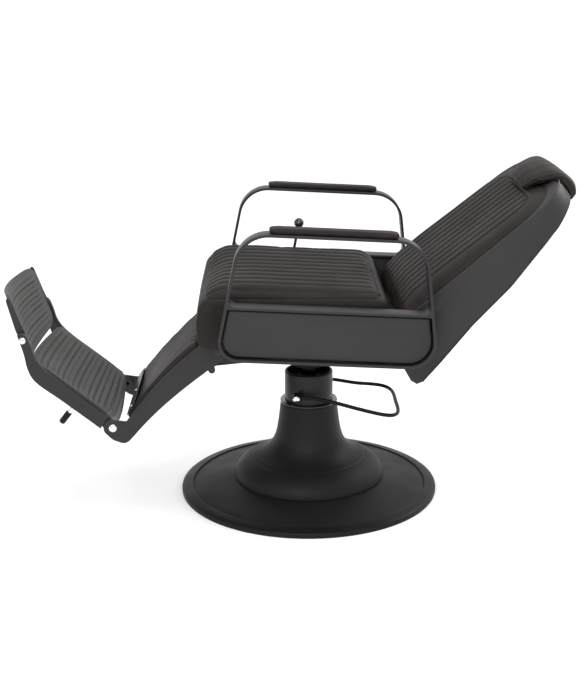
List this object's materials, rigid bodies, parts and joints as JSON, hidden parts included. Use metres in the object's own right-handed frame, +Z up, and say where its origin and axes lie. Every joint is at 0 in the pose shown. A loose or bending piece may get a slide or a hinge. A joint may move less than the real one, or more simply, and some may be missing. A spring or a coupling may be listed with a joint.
{
  "type": "hydraulic barber chair",
  "caption": "Reclining barber chair with a hydraulic lift on a round base, flat-bar arm loops, a folding legrest and footrest, and a sliding headrest.",
  "frame": {"origin": "centre of the round base, on the floor", "axes": "+Z up, the chair faces -Y, +X is the sitter's left"},
  "size_m": [0.703, 1.4517, 0.8991],
  "materials": {
    "powder_coat": "satin",
    "base_black": "matte",
    "gloss_black": "gloss",
    "vinyl": "satin",
    "side_vinyl": "satin",
    "foot_rubber": "matte",
    "chrome": "polished",
    "steel": "satin",
    "plywood": "matte"
  },
  "bodies": {
    "base": {"base_plate": "steel", "base_cover": "base_black", "rim_trim": "base_black", "bell_cover": "base_black", "bell_collar": "gloss_black", "pump_housing": "base_black", "pressure_tube": "steel", "ram_guide": "base_black"},
    "pedal": {"pedal_shaft": "chrome", "pedal_loop": "base_black"},
    "plunger": {"pump_plunger": "steel"},
    "ram_carriage": {"ram": "chrome"},
    "seat_frame": {"swivel_hub": "base_black", "seat_plate": "powder_coat", "front_cross_tube": "powder_coat", "rear_cross_tube": "powder_coat", "side_loop_left": "powder_coat", "side_loop_right": "powder_coat", "side_panel_left": "side_vinyl", "side_panel_right": "side_vinyl", "arm_pad_left": "vinyl", "arm_pad_right": "vinyl", "seat_pan": "plywood", "seat_cushion": "vinyl", "recline_ear_left": "powder_coat", "recline_ear_right": "powder_coat", "recline_shaft": "chrome", "leg_ear_left": "powder_coat", "leg_ear_right": "powder_coat", "lever_bracket": "powder_coat", "gas_anchor": "powder_coat"},
    "recline_lever": {"lever_rod": "base_black", "lever_knob": "gloss_black"},
    "backrest": {"back_shell": "side_vinyl", "back_pad": "vinyl", "torque_tube": "steel"},
    "headrest": {"headrest_pad": "vinyl", "headrest_bracket": "steel"},
    "drag_links": {"drag_link_left": "powder_coat", "drag_link_right": "powder_coat"},
    "gas_cylinder": {"gas_barrel": "base_black"},
    "gas_piston": {"gas_rod": "chrome"},
    "legrest": {"leg_plate_left": "powder_coat", "leg_plate_right": "powder_coat", "calf_pad": "vinyl", "calf_strip": "powder_coat", "drive_rod": "powder_coat", "foot_bolt_left": "chrome", "foot_bolt_right": "chrome"},
    "footrest": {"foot_rail_left": "powder_coat", "foot_rail_right": "powder_coat", "foot_pad": "foot_rubber", "peg_rod": "chrome", "peg_tip": "foot_rubber", "toe_bolt_left": "chrome", "toe_bolt_right": "chrome"},
    "toe_flap": {"toe_arm_left": "powder_coat", "toe_arm_right": "powder_coat", "toe_pad": "foot_rubber"}
  },
  "joints": [
    {"name": "pedal_pump", "type": "hinge", "parent": "base", "child": "pedal", "pos_m": [0, -0.036, 0.283], "axis": [1, 0, 0], "range_deg": [-15, 0], "stiffness_Nm_per_rad": 4, "springref_deg": 17.19},
    {"name": "plunger_stroke", "type": "slide", "parent": "base", "child": "plunger", "axis": [0, 0, 1], "range_m": [0, 0.0018]},
    {"name": "lift", "type": "slide", "parent": "base", "child": "ram_carriage", "axis": [0, 0, 1], "range_m": [0, 0.17]},
    {"name": "swivel", "type": "hinge", "parent": "ram_carriage", "child": "seat_frame", "pos_m": [0, 0, 0.4], "axis": [0, 0, 1], "continuous": true},
    {"name": "lever_pull", "type": "hinge", "parent": "seat_frame", "child": "recline_lever", "pos_m": [-0.2925, -0.04876, 0.52066], "axis": [1, 0, 0], "range_deg": [-18, 0], "stiffness_Nm_per_rad": 0.8, "springref_deg": 11.46},
    {"name": "recline", "type": "hinge", "parent": "seat_frame", "child": "backrest", "pos_m": [0, 0.27, 0.53], "axis": [1, 0, 0], "range_deg": [0, 38]},
    {"name": "headrest_height", "type": "slide", "parent": "backrest", "child": "headrest", "axis": [0, 0.7683, 0.6401], "range_m": [0, 0.08]},
    {"name": "link_swing", "type": "hinge", "parent": "backrest", "child": "drag_links", "pos_m": [0, 0.25209, 0.478], "axis": [1, 0, 0], "range_deg": [-38.5, 0.5]},
    {"name": "gas_tilt", "type": "hinge", "parent": "seat_frame", "child": "gas_cylinder", "pos_m": [0, -0.17, 0.4], "axis": [1, 0, 0], "range_deg": [-2, 1]},
    {"name": "gas_stroke", "type": "slide", "parent": "gas_cylinder", "child": "gas_piston", "axis": [0, 0.9941, 0.1087], "range_m": [0, 0.062]},
    {"name": "legrest_swing", "type": "hinge", "parent": "seat_frame", "child": "legrest", "pos_m": [0, -0.235, 0.448], "axis": [1, 0, 0], "range_deg": [0, 38]},
    {"name": "footrest_fold", "type": "hinge", "parent": "legrest", "child": "footrest", "pos_m": [0, -0.50972, 0.24531], "axis": [1, 0, 0], "range_deg": [-45, 0]},
    {"name": "toe_tilt", "type": "hinge", "parent": "footrest", "child": "toe_flap", "pos_m": [0, -0.72527, 0.48161], "axis": [1, 0, 0], "range_deg": [-10, 40]}
  ],
  "couplings": [
    {"joint": "plunger_stroke", "follows": "pedal_pump", "m_per_rad": -0.0066},
    {"joint": "legrest_swing", "follows": "recline", "ratio": 1},
    {"joint": "link_swing", "follows": "recline", "ratio": -1},
    {"joint": "gas_tilt", "follows": "recline", "ratio": -0.0205},
    {"joint": "gas_stroke", "follows": "recline", "m_per_rad": 0.0879}
  ]
}
